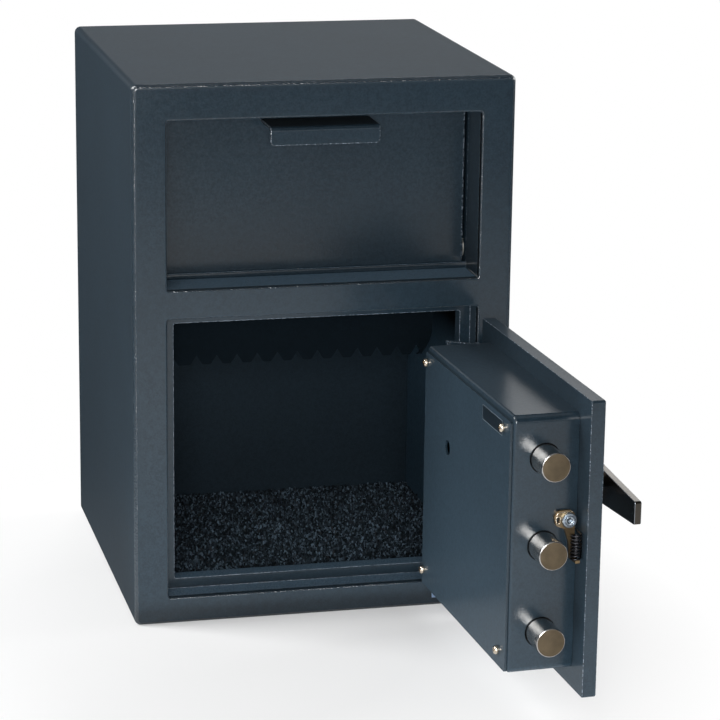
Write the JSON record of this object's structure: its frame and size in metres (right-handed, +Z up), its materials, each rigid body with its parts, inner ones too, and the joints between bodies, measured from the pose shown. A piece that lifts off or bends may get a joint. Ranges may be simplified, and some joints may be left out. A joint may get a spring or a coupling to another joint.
{
  "type": "drop safe",
  "caption": "Front-loading deposit safe: tilting hopper with a bent pull above a compartment whose thick door carries a bolt work, lever handle and combination dial.",
  "frame": {"origin": "Centre of the underside of the body's wrap of plate, in the plane that the safe stands on.", "axes": "+X to the right as one faces the safe (the hinge side), +Y from the front to the back, +Z up. The stored pose has the hopper shut, the door open by 92.5 degrees and the bolts thrown."},
  "size_m": [0.3814, 0.6818, 0.508],
  "materials": {
    "paint": "dark blue-grey enamel with a fine texture, semi-gloss",
    "steel": "plain steel",
    "chrome": "bright chrome plate",
    "bolt_chrome": "turned bar with thin chrome plate",
    "zinc": "yellow zinc plate, worn",
    "brass": "plain brass",
    "cast_zinc": "bare zinc die casting",
    "black_plastic": "black, semi-gloss",
    "black_steel": "oiled spring wire",
    "rubber": "black rubber",
    "nylon": "natural nylon",
    "carpet": "speckled grey needle-felt carpet"
  },
  "bodies": {
    "body": {"body_shell": "paint", "back_panel": "paint", "front_frame": "paint", "door_jamb": "paint", "recess_lining": "paint", "hopper_guide_left": "paint", "hopper_guide_right": "paint", "baffle_apron": "paint", "hopper_hood": "paint", "closing_stop": "paint", "hinge_knuckle_upper": "paint", "hinge_knuckle_lower": "paint", "hinge_pin_upper": "steel", "hinge_pin_lower": "steel", "hopper_bush_left": "nylon", "hopper_bush_right": "nylon", "stop_pad": "rubber", "carpet_mat": "carpet"},
    "hopper": {"hopper_panel": "paint", "hopper_pull": "paint", "hopper_quadrant_left": "paint", "hopper_quadrant_right": "paint", "hopper_tray": "paint", "hopper_rod": "steel"},
    "door": {"door_plate": "paint", "bolt_housing": "paint", "housing_cover": "paint", "dead_bar": "paint", "hinge_strap_upper": "paint", "hinge_strap_lower": "paint", "cover_screw_1": "steel", "cover_screw_2": "steel", "cover_screw_3": "steel", "cover_screw_4": "steel", "hard_plate": "steel", "bolt_guide": "steel", "lock_case": "cast_zinc", "lock_cover": "brass", "dial_ring": "black_plastic", "handle_rose": "chrome", "detent_screw": "chrome", "detent_spring": "black_steel"},
    "handle": {"handle_lever": "chrome", "handle_shaft": "steel", "handle_crank": "steel"},
    "bolts": {"bolt_1": "bolt_chrome", "bolt_2": "bolt_chrome", "bolt_3": "bolt_chrome", "bolt_bar": "steel", "bolt_screw_1": "steel", "bolt_screw_2": "steel", "bolt_screw_3": "steel"},
    "dial": {"dial": "black_plastic", "dial_spindle": "steel", "drive_cam": "brass", "lock_wheel_1": "brass", "lock_wheel_2": "brass", "lock_wheel_3": "brass"},
    "lock_bolt": {"lock_bolt": "brass"},
    "detent": {"detent_lever": "zinc"}
  },
  "joints": [
    {"name": "door_swing", "type": "hinge", "parent": "body", "child": "door", "pos_m": [0.1713, -0.1844, 0.15], "axis": [0, 0, 1], "range_deg": [-92.5, 87.5]},
    {"name": "hopper_tilt", "type": "hinge", "parent": "body", "child": "hopper", "pos_m": [0, -0.1156, 0.3355], "axis": [1, 0, 0], "range_deg": [0, 50]},
    {"name": "handle_turn", "type": "hinge", "parent": "door", "child": "handle", "pos_m": [0.18042, -0.37949, 0.1865], "axis": [0.999, 0.0436, 0], "range_deg": [0, 90]},
    {"name": "bolt_throw", "type": "slide", "parent": "door", "child": "bolts", "axis": [-0.0436, 0.999, 0], "range_m": [0, 0.022]},
    {"name": "dial_turn", "type": "hinge", "parent": "door", "child": "dial", "pos_m": [0.1776, -0.31495, 0.1865], "axis": [0.999, 0.0436, 0], "continuous": true},
    {"name": "lock_bolt_slide", "type": "slide", "parent": "door", "child": "lock_bolt", "axis": [0, 0, 1], "range_m": [-0.008, 0]},
    {"name": "detent_swing", "type": "hinge", "parent": "door", "child": "detent", "pos_m": [0.1434, -0.47619, 0.1803], "axis": [-0.0436, 0.999, 0], "range_deg": [0, 12], "stiffness_Nm_per_rad": 0.05, "springref_deg": -17.19}
  ],
  "couplings": [
    {"joint": "bolt_throw", "follows": "handle_turn", "m_per_rad": 0.014}
  ]
}
